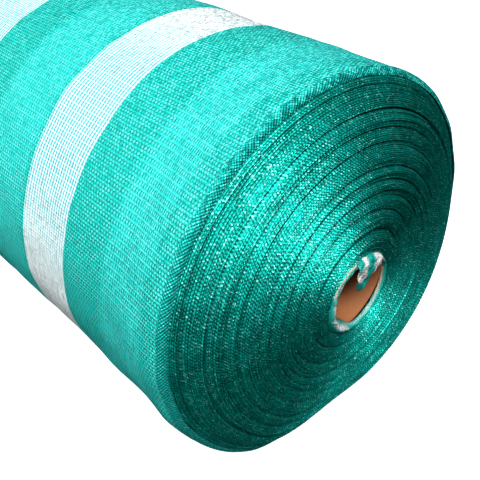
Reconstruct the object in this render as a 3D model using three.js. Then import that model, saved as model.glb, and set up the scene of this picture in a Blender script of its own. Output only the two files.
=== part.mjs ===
// A roll of knitted shade net on a cardboard tube, lying on its side.
// Millimetres. +X runs along the roll to the end that the net is tucked in at, +Z is up,
// and the origin is on the ground under the roll's middle.

import * as THREE from 'three';

const { degToRad, lerp, smoothstep } = THREE.MathUtils;

// The wound net
const rollRadius = 160;
const axisHeight = 153.2;        // less than the radius, so the roll stands on a flat of its own making
const axisAside = 2.1;           // the ends sit to the other side of this, so the whole is centred
const outOfRound = 0.016;        // the roll sags: wider than it is high by this share each way
const shoulderAt = 495.4;        // where the outermost turns end, measured from the middle
const shoulderRound = 5;         // radius of the shoulder's rounded edge
const faceAt = 518;              // the furthest reach of the wound edges along the axis
const settleLength = 90;         // stretch next to each shoulder over which the end's own shape sets in

// Radii between which each part of the form sets in, from the tube outwards
const FADE = {
  centre: [32, 64],              // from the sunken tube's centre to the end's own centre
  lean: [32, 110],
  oval: [30, 100],
  sag: [60, 150],
  skin: [148, 158],              // what only the outermost turn has: the spiral's step and the dips
};

// The end leans: its edges reach further out low down and at the back.
const leanBack = 0.076;
const leanUp = -0.112;
const leanAtTube = 0.6;          // next to the tube only this share of the lean is left
const endDrift = { y: -5.1, z: 1.8 };    // the end's turns sit this far off the roll's middle
const coreDrift = { y: 0, z: -7 };       // the tube has sunk this far below it

// Soft turns bulge at both sides of the stretch that carries the weight.
const SAGS = [
  { at: 131, spread: 33, swell: 7.3 },
  { at: 217, spread: 16, swell: 5.5 },
  { at: 184, spread: 17, swell: -6.4 },
];

// The net's outer end lies on the back of the roll: one turn of net ends there as a step.
const stepAngle = 100;
const stepHeight = 1.6;

// Grooves between bundles of turns whose edges do not line up, from the shoulder to the tube.
// radius: of the groove; behind: how far its bottom lies behind the furthest edges.
const GROOVES = [
  { radius: 147.8, behind: 19.6 },
  { radius: 133.7, behind: 11.2 },
  { radius: 122.3, behind: 8.6 },
  { radius: 112.3, behind: 5.9 },
  { radius: 97.3, behind: 2.6 },
  { radius: 88.6, behind: 2.2 },
  { radius: 77.0, behind: 2.4 },
  { radius: 65.1, behind: 2.6 },
  { radius: 50.0, behind: 2.8 },
  { radius: 37.0, behind: 3.4 },
];
const bundleSwell = 0.2;         // a bundle's edge stands out by this share of its width
const crownAt = 0.42;            // where along its width the bundle stands out most, from outside

// The colour stripes knitted into the net pull it in by a hair, so the roll dips at each.
const stripePitch = 167.2;
const stripePlaces = [-2, -1, 0, 1, 2];
const stripeDip = 0.9;
const dipReach = 30;

// The tube
const tubeOuter = 29.2;
const tubeInner = 26;
const tubeEnds = { far: -513, near: 511.5 };
const tubeFacets = 48;
const gap = 0.3;
const mouthLip = { radius: 31.5, behind: 4.6 };    // the innermost turns, rounding into the bore
const boreEdge = 7.5;

// The net's first end, folded over the tube's rim into the bore, with one corner hanging free.
// Both runs go from the face of the roll over the rim and in.
const netThickness = 1.2;
const FOLD = [
  { radius: 34.9, behind: 1.6 },
  { radius: 32.8, behind: 0.4 },
  { radius: 30.2, behind: -0.4 },
  { radius: 27.6, behind: 0.2 },
  { radius: 25.4, behind: 2.2 },
  { radius: 24.9, behind: 4.4 },
  { radius: 24.7, behind: 7.2 },
];
const FLAP = [
  { radius: 34.9, behind: 1.6 },
  { radius: 32.8, behind: 0.2 },
  { radius: 30.2, behind: -0.8 },
  { radius: 27.4, behind: -0.5 },
  { radius: 22.5, behind: 1.4 },
  { radius: 13.5, behind: 4.4 },
  { radius: 5.0, behind: 8.4 },
];
const flapAngles = { from: 0, to: 70 };
const flapCut = 1.5;             // the corner's cut edge is this narrow, in degrees
const columnStep = 10;

// Stations of the body, as distances from the middle
const bodyStations = [465, 420, 375, 320, 270, 215, 165, 110, 55, 0];
const around = 64;               // facets round the roll
const stepEdge = 0.4;            // half the width of the step's own facet, in degrees

function fade(radius, [from, to]) {
  return smoothstep(radius, from, to);
}

// How strongly the end's own shape holds at a distance from the middle, from 0 to 1.
function endShare(distance) {
  return smoothstep(distance, shoulderAt - settleLength, shoulderAt);
}

// Height of the soft bulges at an angle, in degrees from straight up towards +Y.
function sagAt(degrees) {
  return SAGS.reduce((sum, sag) => {
    const away = ((degrees - sag.at + 540) % 360) - 180;
    return sum + sag.swell * Math.exp(-((away / sag.spread) ** 2));
  }, 0);
}

// The spiral's radius grows evenly through one turn and drops back at the step.
function spiralAt(degrees) {
  const turn = ((degrees - stepAngle + 720) % 360) / 360;
  return stepHeight * (turn - 0.5);
}

// A shallow dip at each colour stripe.
function dipAt(distance) {
  return stripePlaces.reduce((sum, place) => {
    const away = (distance - place * stripePitch) / dipReach;
    return sum - stripeDip * Math.exp(-(away ** 2));
  }, 0);
}

// A point of the wound net: distance along the axis from the middle, on the near side (1) or
// the far side (-1), at a radius, and at an angle in degrees from straight up towards +Y.
function netPoint(distance, side, radius, degrees) {
  const share = endShare(distance);
  const angle = degToRad(degrees);
  const oval = outOfRound * fade(radius, FADE.oval) * Math.cos(2 * angle);
  const r = radius * (1 - oval)
    + sagAt(degrees) * share * fade(radius, FADE.sag)
    + (spiralAt(degrees) + dipAt(distance)) * fade(radius, FADE.skin);
  const outward = fade(radius, FADE.centre);
  const y = lerp(coreDrift.y, endDrift.y * share, outward) + r * Math.sin(angle);
  const z = lerp(coreDrift.z, endDrift.z * share, outward) + r * Math.cos(angle);
  const lean = share * lerp(leanAtTube, 1, fade(radius, FADE.lean));
  const along = distance + lean * (leanBack * y + leanUp * z);
  return new THREE.Vector3(side * along, axisAside + y, Math.max(axisHeight + z, 0));
}

// Rows of points, closed both ways, made into one closed body.
function closedGrid(rows) {
  const count = rows[0].length;
  const positions = rows.flat().flatMap((point) => point.toArray());
  const index = [];
  rows.forEach((row, i) => {
    const here = i * count;
    const next = ((i + 1) % rows.length) * count;
    row.forEach((point, j) => {
      const k = (j + 1) % count;
      index.push(here + j, here + k, next + k, here + j, next + k, next + j);
    });
  });
  const geometry = new THREE.BufferGeometry();
  geometry.setAttribute('position', new THREE.Float32BufferAttribute(positions, 3));
  geometry.setIndex(index);
  geometry.computeVertexNormals();
  return geometry;
}

// Even angles round the roll, and two close together at the step of the outer end.
function rollAngles() {
  const even = Array.from({ length: around }, (_, k) => (k * 360) / around);
  const clear = even.filter((angle) => Math.abs(angle - stepAngle) > 4 * stepEdge);
  return [...clear, stepAngle - stepEdge, stepAngle + stepEdge].sort((a, b) => a - b);
}

// One end's stations from the shoulder in to the bore: distance along the axis and radius.
function endStations() {
  const stations = [0, 30, 60, 90].map((turn) => ({
    distance: shoulderAt - shoulderRound * (1 - Math.sin(degToRad(turn))),
    radius: rollRadius - shoulderRound * (1 - Math.cos(degToRad(turn))),
  }));
  let outer = { radius: rollRadius - shoulderRound, behind: faceAt - shoulderAt };
  [...GROOVES, mouthLip].forEach((groove) => {
    const width = outer.radius - groove.radius;
    const behind = lerp(outer.behind, groove.behind, crownAt) - bundleSwell * width;
    stations.push({ distance: faceAt - behind, radius: outer.radius - crownAt * width });
    stations.push({ distance: faceAt - groove.behind, radius: groove.radius });
    outer = groove;
  });
  stations.push({ distance: faceAt - boreEdge, radius: tubeOuter + gap });
  return stations;
}

function makeNetRoll() {
  const angles = rollAngles();
  const row = (station, side) => angles.map(
    (degrees) => netPoint(station.distance, side, station.radius, degrees));
  const end = endStations();
  const body = bodyStations.map((distance) => ({ distance, radius: rollRadius }));
  return closedGrid([
    ...[...end].reverse().map((station) => row(station, 1)),
    ...body.map((station) => row(station, 1)),
    ...body.slice(0, -1).reverse().map((station) => row(station, -1)),
    ...end.map((station) => row(station, -1)),
  ]);
}

function makeCoreTube() {
  const profile = [
    [tubeInner, tubeEnds.far],
    [tubeOuter, tubeEnds.far],
    [tubeOuter, tubeEnds.near],
    [tubeInner, tubeEnds.near],
    [tubeInner, tubeEnds.far],
  ].map(([radius, along]) => new THREE.Vector2(radius, along));
  return new THREE.LatheGeometry(profile, tubeFacets);
}

// A run of stations moved to one side by half the net's thickness.
function runFace(run, sign) {
  return run.map((station, k) => {
    const back = run[Math.max(k - 1, 0)];
    const ahead = run[Math.min(k + 1, run.length - 1)];
    const normal = new THREE.Vector2(ahead.behind - back.behind, back.radius - ahead.radius);
    normal.setLength((sign * netThickness) / 2);
    return { radius: station.radius + normal.x, behind: station.behind - normal.y };
  });
}

// A sheet round the mouth: the fold's run at most angles, the flap's run at the free corner.
function makeTuckedEnd() {
  const columns = [];
  for (let angle = flapAngles.from; angle <= flapAngles.to; angle += columnStep) {
    columns.push({ angle, run: FLAP });
  }
  const last = flapAngles.from + 360 - flapCut;
  for (let angle = flapAngles.to + flapCut; angle < last; angle += columnStep) {
    columns.push({ angle, run: FOLD });
  }
  columns.push({ angle: last, run: FOLD });
  return closedGrid(columns.map(({ angle, run }) => {
    const section = [...runFace(run, 1), ...runFace(run, -1).reverse()];
    return section.map(({ radius, behind }) => netPoint(faceAt - behind, 1, radius, angle));
  }));
}

function part(name, geometry, colour, roughness) {
  const material = new THREE.MeshStandardMaterial({ color: colour, roughness, metalness: 0 });
  const mesh = new THREE.Mesh(geometry, material);
  mesh.name = name;
  return mesh;
}

const netRoll = part('net_roll', makeNetRoll(), '#12a88e', 0.55);

const coreTube = part('core_tube', makeCoreTube(), '#9a6a45', 0.85);
coreTube.rotation.z = -Math.PI / 2;
coreTube.position.set(0, axisAside + coreDrift.y, axisHeight + coreDrift.z);

const tuckedEnd = part('tucked_end', makeTuckedEnd(), '#cfe6de', 0.55);

const group = new THREE.Group();
group.add(netRoll, coreTube, tuckedEnd);

export default group;
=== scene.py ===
# %% [markdown]
# A roll of shade net, one metre wide, wound on a cardboard tube and lying on its side.
# The net is knitted from flat polyethylene tape in green, with white stripes that run round
# the roll. This lesson loads the roll's plain solids as a frame, and then dresses them: the
# outermost turn as one sheet, the wound edges at both ends as one long spiral with stitches
# standing on it, the tube, and the net's first end, which is folded over the tube's rim.

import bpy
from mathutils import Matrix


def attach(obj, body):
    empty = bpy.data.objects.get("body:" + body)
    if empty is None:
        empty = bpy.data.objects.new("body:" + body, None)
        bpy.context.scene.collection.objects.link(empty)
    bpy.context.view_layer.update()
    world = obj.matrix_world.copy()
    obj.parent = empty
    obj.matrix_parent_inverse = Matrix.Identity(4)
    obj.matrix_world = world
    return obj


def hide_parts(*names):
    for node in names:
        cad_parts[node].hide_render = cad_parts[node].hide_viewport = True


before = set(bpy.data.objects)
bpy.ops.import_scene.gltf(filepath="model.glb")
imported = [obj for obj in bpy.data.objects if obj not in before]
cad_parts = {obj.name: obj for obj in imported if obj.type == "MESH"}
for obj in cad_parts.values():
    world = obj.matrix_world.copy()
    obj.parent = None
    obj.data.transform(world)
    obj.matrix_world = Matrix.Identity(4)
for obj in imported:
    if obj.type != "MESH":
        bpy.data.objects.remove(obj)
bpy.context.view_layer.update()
print("The frame's nodes:", sorted(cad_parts))

# %% [markdown]
# Numbers that many steps share come first. They repeat the driving sizes of the solids, here in
# metres. +X runs along the roll to the end that the net is tucked in at, and +Z is up. An angle
# round the roll is in degrees from straight up towards +Y.

# %% Shared sizes
import functools
import math

import bmesh
import bpy
import numpy as np
from mathutils import Vector

MM = 0.001

ROLL_RADIUS = 0.160
AXIS_HEIGHT = 0.1532  # less than the radius: the roll stands on a flat of its own making
AXIS_ASIDE = 0.0021
OUT_OF_ROUND = 0.016  # wider than high by this share each way
SHOULDER_AT = 0.4954  # where the outermost turn ends, from the middle
SHOULDER_ROUND = 0.005
FACE_AT = 0.518  # the furthest reach of the wound edges
SETTLE_LENGTH = 0.090  # beside each shoulder, where the end's own shape sets in

FADE = {  # radii between which each part of the form sets in, from the tube outwards
    "centre": (0.032, 0.064),
    "lean": (0.032, 0.110),
    "oval": (0.030, 0.100),
    "sag": (0.060, 0.150),
    "skin": (0.148, 0.158),
}
LEAN_BACK, LEAN_UP, LEAN_AT_TUBE = 0.076, -0.112, 0.6
END_DRIFT = (-0.0051, 0.0018)  # how far the end's turns sit off the roll's middle
CORE_DRIFT = (0.0, -0.007)  # and how far the tube has sunk
SAGS = ((131, 33, 0.0073), (217, 16, 0.0055), (184, 17, -0.0064))  # angle, spread and swell

STRIPE_PITCH = 0.1672
STRIPE_PLACES = np.arange(-2, 3)
STRIPE_DIP, DIP_REACH = 0.0009, 0.030
STEP_ANGLE, STEP_HEIGHT = 100.0, 0.0016  # where the net's outer end lies, and its thickness

TUBE_OUTER, TUBE_INNER = 0.0292, 0.026
TUBE_FAR, TUBE_NEAR = -0.513, 0.5137
print("Roll:", 2 * ROLL_RADIUS, "m across and", 2 * FACE_AT, "m long")

# %% [markdown]
# Every form below is made of a few small curves: a soft step, a bell, and the straight way from
# one value to another. They are plain formulas, so each surface can be computed anew.

# %% The curves that everything is made of


def soft_step(x, low, high):
    """0 up to low and 1 from high, with the curve 3t^2 - 2t^3 between them."""
    t = np.clip((x - low) / (high - low), 0.0, 1.0)
    return t * t * (3.0 - 2.0 * t)


def bell(x, half):
    """1 at 0, falling off to both sides as exp(-(x / half)^2)."""
    return np.exp(-((x / half) ** 2))


def mix(a, b, share):
    """The straight way from a to b: a at share 0, and b at share 1."""
    return a + (b - a) * share


def turn_from(degrees, at):
    """How far an angle lies from another one, between -180 and 180 degrees."""
    return (degrees - at + 540.0) % 360.0 - 180.0


print("Half way up a soft step:", float(soft_step(0.5, 0.0, 1.0)))

# %% [markdown]
# The whole roll follows one function, which turns a distance from the middle, a radius and an
# angle into a point. It holds what makes a soft roll look soft: it sags a little out of round,
# its ends lean, its turns bulge beside the stretch that they lie on, and it never goes below the
# floor. Every piece of net is laid out through it, so they all lean and sag together.

# %% The roll's form


def sag_at(degrees):
    """A sum of bell curves, one for each soft bulge, each at its own angle."""
    return sum(swell * bell(turn_from(degrees, at), spread) for at, spread, swell in SAGS)


def dip_at(distance):
    """A bell-shaped dip at each white stripe, which is knitted a hair tighter."""
    from_stripes = distance - STRIPE_PLACES[:, None, None] * STRIPE_PITCH
    return -STRIPE_DIP * bell(from_stripes, DIP_REACH).sum(axis=0)


def net_point(distance, side, radius, degrees, lift=0.0):
    """A circle round the roll's axis, squashed by its oval and swollen by its sags, then moved
    along the axis by the lean, which grows with height and depth. lift is added to the radius.
    All but side may be arrays that broadcast to rows by columns."""
    distance, radius, degrees, lift = np.broadcast_arrays(
        *np.atleast_2d(distance, radius, degrees, lift)
    )
    share = soft_step(distance, SHOULDER_AT - SETTLE_LENGTH, SHOULDER_AT)
    angle = np.radians(degrees)
    oval = OUT_OF_ROUND * soft_step(radius, *FADE["oval"]) * np.cos(2 * angle)
    r = (
        radius * (1 - oval)
        + sag_at(degrees) * share * soft_step(radius, *FADE["sag"])
        + dip_at(side * distance) * soft_step(radius, *FADE["skin"])
        + lift
    )
    outward = soft_step(radius, *FADE["centre"])
    y = mix(CORE_DRIFT[0], END_DRIFT[0] * share, outward) + r * np.sin(angle)
    z = mix(CORE_DRIFT[1], END_DRIFT[1] * share, outward) + r * np.cos(angle)
    lean = share * mix(LEAN_AT_TUBE, 1.0, soft_step(radius, *FADE["lean"]))
    along = distance + lean * (LEAN_BACK * y + LEAN_UP * z)
    return np.stack([side * along, AXIS_ASIDE + y, np.maximum(AXIS_HEIGHT + z, 0.0)], axis=-1)


top = net_point(0.0, 1, ROLL_RADIUS, 0.0)[0, 0]
print("The roll's top at its middle:", np.round(top, 4))

# %% [markdown]
# Nothing on a real roll is ruled, so surfaces carry slow waves: a sum of cosines whose directions
# and lengths are drawn once, from a fixed seed. Unlike a simulation it repeats exactly, and its
# height stays known.

# %% Slow waves


def waves(seed, number, wavelengths, height):
    """Settings for a sum of cosines: seeded directions, wavelengths and starts."""
    draw = np.random.default_rng(seed)
    lengths = np.exp(draw.uniform(*np.log(wavelengths), number))
    headings = draw.uniform(0.0, np.pi, number)
    return np.stack(
        [
            2 * np.pi * np.cos(headings) / lengths,
            2 * np.pi * np.sin(headings) / lengths,
            draw.uniform(0.0, 2 * np.pi, number),
            np.full(number, height * math.sqrt(2.0 / number)),
        ]
    )


def ripple(settings, a, b):
    """The sum of the cosines at every pair of places a and b."""
    total = np.zeros(np.broadcast(a, b).shape)
    for along_a, along_b, start, height in settings.T:
        total = total + height * np.cos(along_a * a + along_b * b + start)
    return total


SKIN_WAVES = waves(11, 14, (0.035, 0.16), 0.35 * MM)  # 35 to 160 mm long, as on a tight roll
print("Waves on the outermost turn:", SKIN_WAVES.shape[1])

# %% [markdown]
# Pieces are grids of points, so one function turns a grid into a mesh. A grid that closes on
# itself is given with its first row or column repeated at the end: welding the doubled points
# closes the seam, and the maps, which are kept for each corner of a face, stay unbroken across it.

# %% From grid to mesh


def grid_faces(rows, columns):
    """Each face joins four neighbouring points of a rows by columns grid."""
    first = np.arange(rows - 1)[:, None] * columns + np.arange(columns - 1)[None, :]
    corners = [first, first + 1, first + columns + 1, first + columns]
    return np.stack(corners, axis=-1).reshape(-1, 4)


def pairs(a, b):
    """Two arrays that broadcast to rows by columns, side by side as the values of a map."""
    return np.stack(np.broadcast_arrays(a, b), axis=-1)


def make_piece(name, points, faces, material, maps=None, node=None, smooth=True):
    """Fills a mesh with points and faces, writes its UV maps, and lets it ride on the frame."""
    mesh = bpy.data.meshes.new(name)
    mesh.from_pydata(points.reshape(-1, 3).tolist(), [], faces.tolist())
    corner_points = np.zeros(len(mesh.loops), np.int32)
    mesh.loops.foreach_get("vertex_index", corner_points)
    for map_name, values in (maps or {}).items():
        layer = mesh.uv_layers.new(name=map_name, do_init=False)
        flat = np.asarray(values, np.float32).reshape(-1, 2)[corner_points]
        layer.uv.foreach_set("vector", flat.ravel())
    mesh.polygons.foreach_set("use_smooth", np.full(len(mesh.polygons), smooth))
    mesh.materials.append(material)
    mesh.update()
    piece = bpy.data.objects.new(name, mesh)
    bpy.context.scene.collection.objects.link(piece)
    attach(piece, "root")
    if node:
        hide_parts(node)
    return piece


def weld(piece, reach=1e-6):
    """Joins points that lie on each other, and with them the seams and poles."""
    work = bmesh.new()
    work.from_mesh(piece.data)
    bmesh.ops.remove_doubles(work, verts=work.verts, dist=reach)
    work.to_mesh(piece.data)
    work.free()
    piece.data.update()
    return piece


def count(piece):
    """Prints how many triangles a piece has before its modifiers."""
    triangles = sum(len(face.vertices) - 2 for face in piece.data.polygons)
    print(f"{piece.name}: {triangles} triangles")


print("A grid of 3 by 4 points has", len(grid_faces(3, 4)), "faces")

# %% [markdown]
# Every finish below is a tree of shader nodes. One small function adds a node: its settings, and
# what its inputs get, which is a number, a colour, or another node's output. All finishes end in
# the same way, with a colour, a relief and a gloss. Colours are written as sRGB hex values, as a
# colour picker shows them, and one function turns them to the linear values that light needs.

# %% Tools for materials

CHOICES = {  # what the second word of a node's kind sets
    "Math": "operation",
    "VectorMath": "operation",
    "MapRange": "interpolation_type",
    "Mix": "data_type",
    "TexNoise": "noise_dimensions",
    "TexWhiteNoise": "noise_dimensions",
}


def linear(hex_colour):
    """sRGB to linear light: a short straight stretch near black, then the power 2.4."""
    parts = np.array([int(hex_colour[i : i + 2], 16) / 255.0 for i in (1, 3, 5)])
    lit = np.where(parts <= 0.04045, parts / 12.92, ((parts + 0.055) / 1.055) ** 2.4)
    return (*lit.tolist(), 1.0)


def add_node(tree, kind, *sources, named=None, **settings):
    """Adds a node of a kind such as "Math COSINE" and sets its properties. Sources fill its
    inputs in their order, or by name: a node or a socket is linked, and a number or a hex
    colour becomes the input's own value."""
    kind, *choice = kind.split()
    node = tree.nodes.new("ShaderNode" + kind)
    if choice:
        settings[CHOICES[kind]] = choice[0]
    for name, setting in settings.items():
        setattr(node, name, setting)
    filled = list(zip([socket for socket in node.inputs if socket.enabled], sources))
    filled += [(node.inputs[name], source) for name, source in (named or {}).items()]
    for socket, source in filled:
        if isinstance(source, bpy.types.Node):
            source = next(output for output in source.outputs if output.enabled)
        if isinstance(source, bpy.types.NodeSocket):
            tree.links.new(source, socket)
        else:
            socket.default_value = linear(source) if isinstance(source, str) else source
    return node


def new_material(name):
    """A material with an empty tree, and add_node for that tree."""
    material = bpy.data.materials.new(name)
    material.use_nodes = True
    material.node_tree.nodes.clear()
    return material, functools.partial(add_node, material.node_tree)


def finished(add, colour, relief=None, distance=1.0, strength=1.0, **values):
    """Ends a finish: its colour, the height that bumps it, and the gloss of its surface."""
    values["Base Color"] = colour
    if relief:
        bump = {"Strength": strength, "Distance": distance, "Height": relief}
        values["Normal"] = add("Bump", named=bump)
    add("OutputMaterial", add("BsdfPrincipled", named=values))


def wave(add, place, length):
    """The cosine of a place, with one full wave for each length."""
    turns = add("Math MULTIPLY", place, 2 * math.pi / length)
    return add("Math COSINE", turns)


print("White in linear light:", linear("#ffffff"))

# %% [markdown]
# The net itself: knitted polyethylene tape, UV-stabilised and extruded with a waxy gloss. Chains
# of stitches run round the roll, 3 mm apart, and the tape zigzags between them, so that the bright
# knots lie like the dark squares of a chessboard. On the outside the net is blue-green, and where
# it lies double the white stripes of the layer below lighten it in soft bands. An image of a real
# net would be tied to its photograph, so the lattice is written as products of cosines instead.
# The pattern reads the piece's own map, which is in metres: round the roll, and along it.

# %% Where the white stripes run

STRIPE_HALF = 28.0 * MM
STRIPED_HALF = 400 * MM  # the last stripes end here, well short of the net's edges
UNDER_SHIFT = 105.6 * MM  # the layer below has its white stripes this far along
UNDER_BLUR = (36 * MM, 25 * MM)  # from their middle: where they begin to show, and show fully
WANDER, WANDER_SCALE = 2.4 * MM, 45 * MM  # slow unevenness of the knitting
SWING, SWING_LENGTH, SWING_AT = 1.8 * MM, 0.268, 0.508  # the stripes swing to and fro, as wound


def stripe_nodes(add, place, around, along):
    """The knitting is moved along the roll by a noise and a long cosine, so that no stripe is
    ruled. It is white near each multiple of the pitch. The layer below is seen through the net,
    so its stripes have soft borders."""
    wander = add(
        "TexNoise 2D",
        place,
        named={"Scale": 1 / WANDER_SCALE, "Detail": 2.0, "Roughness": 0.6},
    )
    shift = add("Math MULTIPLY_ADD", wander, WANDER, -WANDER / 2)
    turns = 2 * math.pi / SWING_LENGTH
    swing = add("Math MULTIPLY_ADD", around, turns, -turns * SWING_AT)
    swing = add("Math COSINE", swing)
    shift = add("Math MULTIPLY_ADD", swing, -SWING, shift)
    moved = add("Math ADD", along, shift)

    from_stripe = add("Math PINGPONG", moved, STRIPE_PITCH / 2)
    near = add("Math LESS_THAN", from_stripe, STRIPE_HALF)
    inside = add("Math LESS_THAN", add("Math ABSOLUTE", moved), STRIPED_HALF)
    white = add("Math MULTIPLY", near, inside)

    below = add("Math SUBTRACT", along, UNDER_SHIFT)
    below = add("Math PINGPONG", below, STRIPE_PITCH / 2)
    over_white = add("MapRange SMOOTHSTEP", below, *UNDER_BLUR, 0.0, 1.0)
    return moved, white, over_white


print("White stripes:", 2 * STRIPE_HALF / MM, "mm wide, every", STRIPE_PITCH / MM, "mm")

# %% [markdown]
# Towards its edges the net opens: its stitches stand apart with dark holes between them, and there
# gap and tape are painted darker, as shade where the roll rounds over towards its ends. Beyond its
# last chain the turns below show, a little further out each, and there the stitches are seen almost
# on edge and look smaller; these turns are painted darker as shade. The rim itself lies over a gap
# and is darkest: a painted shade line.

# %% The net's own edges

SELVEDGE = (483 * MM, 490 * MM, 491.5 * MM)  # the net grows open, ends, and lower turns begin
# painted shade: the rim's dark line, its width and how dark it gets
RIM, RIM_PAINTED_SHADE = 2.5 * MM, 0.95
LOWER_PAINTED_SHADE = 0.15  # painted shade: the turns below are painted darker by this share


def selvedge_nodes(add, along):
    """Soft steps of the distance from the middle, and a painted shade line where the net ends; the
    turns below are painted darker as shade.
    """
    from_middle = add("Math ABSOLUTE", along)
    opening, lower_turns = (
        add("MapRange SMOOTHSTEP", from_middle, *SELVEDGE[k : k + 2], 0.0, 1.0)
        for k in (0, 1)
    )
    from_rim = add("Math SUBTRACT", from_middle, SELVEDGE[2])
    from_rim = add("Math ABSOLUTE", from_rim)
    rim = add("MapRange SMOOTHSTEP", from_rim, 0.0, RIM, RIM_PAINTED_SHADE, 1.0)
    lower = add("Math MULTIPLY_ADD", lower_turns, -LOWER_PAINTED_SHADE, 1.0)
    return opening, lower_turns, add("Math MULTIPLY", rim, lower)


print("The net opens over its last", round((SELVEDGE[1] - SELVEDGE[0]) / MM), "mm")

# %% [markdown]
# The knit is a sum of three waves: the chains, which repeat along the roll; the knots, on a
# chessboard between them; and the stitches' own rhythm, which repeats round the roll. The chains
# weigh more in the white stripes, and the knots in the green. Each stitch has its own shade, and
# tilts its own way, which makes some of them glint.

# %% Stitches

WALE = 3.03 * MM  # between two chains of stitches, measured along the roll
COURSE = 5.1 * MM  # one repeat round the roll, which is two stitches
SMALL = (2.6 * MM, 2.35 * MM)  # the repeat of the lower turns' stitches, seen at a slant
CHAIN_WEIGHT = (0.2, 0.7, 0.3)  # everywhere, more in the white, and more over white
KNOT_WEIGHT = (0.6, -0.2)  # everywhere, and more in the white
STITCH_WEIGHT = 0.46
SMALL_HEIGHT = (0.4, 0.15)
WHITE_LOWER = 0.3  # the white tape is narrower and covers less
COVER = (-0.9, 0.45)  # below the first there is only gap, and above the second only tape


def stitch_nodes(add, around, moved):
    """The map snapped to half repeats names a stitch. White noise gives it a shade and a heading,
    and its tilt grows along that heading from the stitch's corner."""
    place = add("CombineXYZ", around, moved)
    corner = add("VectorMath SNAP", place, (COURSE / 2, WALE / 2, 1.0))
    own = add("TexWhiteNoise 2D", corner)
    from_corner = add("VectorMath SUBTRACT", place, corner)
    heading = add("VectorMath SUBTRACT", own.outputs["Color"], (0.5, 0.5, 0.5))
    return own, add("VectorMath DOT_PRODUCT", from_corner, heading)


def cover_nodes(add, around, moved, white, over_white, lower_turns):
    """The weighted sum of the waves is how high the tape stands, and a soft step of it how much
    of a place is covered."""
    chain = wave(add, moved, WALE)
    knots = add("Math MULTIPLY", chain, wave(add, around, COURSE))
    stitches = wave(add, around, COURSE / 2)
    chain_weight = add("Math MULTIPLY_ADD", white, CHAIN_WEIGHT[1], CHAIN_WEIGHT[0])
    chain_weight = add("Math MULTIPLY_ADD", over_white, CHAIN_WEIGHT[2], chain_weight)
    knot_weight = add("Math MULTIPLY_ADD", white, KNOT_WEIGHT[1], KNOT_WEIGHT[0])
    height = add("Math MULTIPLY", stitches, STITCH_WEIGHT)
    height = add("Math MULTIPLY_ADD", knots, knot_weight, height)
    height = add("Math MULTIPLY_ADD", chain, chain_weight, height)
    small = (wave(add, around, SMALL[0]), wave(add, moved, SMALL[1]))
    small_knots = add("Math MULTIPLY", *small)
    lower_height = add("Math MULTIPLY_ADD", small_knots, *SMALL_HEIGHT)
    height = add("Mix FLOAT", lower_turns, height, lower_height)
    height = add("Math MULTIPLY_ADD", white, -WHITE_LOWER, height)
    covered = add("MapRange SMOOTHSTEP", height, *COVER, 0.0, 1.0)
    return covered, knots, small_knots


print("A stitch:", round(COURSE / 2 / MM, 2), "mm round the roll,", WALE / MM, "mm along it")

# %% [markdown]
# Colour, relief and gloss follow from those parts. Tape is brighter than the gap below it, which
# shows the layer below painted darker as shade; a stitch's shade makes it brighter or duller, and
# on the knots of the brightest stitches a pale glint is painted, a painted highlight. In the white
# stripes the chains stand apart on the roll's front, and lie close over its top and below.
# Polyethylene has an IOR of 1.54. Where the turns are seen on edge, light that comes back has been
# inside the tape and is green, so there the sheen is partly coloured as a metal's is.

# %% Knitted green net with white stripes

NET_COLOURS = {
    "tape": "#06bcb2",
    "tape over white": "#2cc2ba",
    "white tape": "#dde3e3",
    # the gaps show the layer below, painted darker as shade
    "gap": "#00746d",
    "gap over white": "#0c9b95",
    "white gap": "#3fa7ae",
    # painted highlight: the pale glint painted on some knots
    "glint": "#b4efe9",
}
CHAINS_APART = (318 - STEP_ANGLE, 12, 52)  # degrees: the front, and how far from it they close up
CLOSED = 0.95
OWN_SHADE = (0.84, 0.36)  # the value of the dullest stitch, and how much the brightest adds
OPEN_PAINTED_SHADE_AND_SPREAD = (-0.2, 0.5)  # where the net is open, painted shade darkens everything, and stitches differ more
PAINTED_GLINTS = (0.62, 0.6)  # painted glints: the shade above which a stitch gets one, and how much on its knot
RELIEF = (0.42 * MM, 0.2 * MM, 0.55)  # tape over gap, small stitches, and a stitch's own slope
LOWER_METALLIC = 0.66
ROUGHNESS = (0.34, 0.2, 0.5)  # of tape, more where the net is open, and more in a gap
PLASTIC_IOR = 1.54


def layer_colour(add, layer, white, over_white):
    """The tape's colour or the gap's, by what it is knitted of and what lies below."""
    green = (NET_COLOURS[layer], NET_COLOURS[f"{layer} over white"])
    green = add("Mix RGBA", over_white, *green)
    return add("Mix RGBA", white, green, NET_COLOURS[f"white {layer}"])


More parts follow.
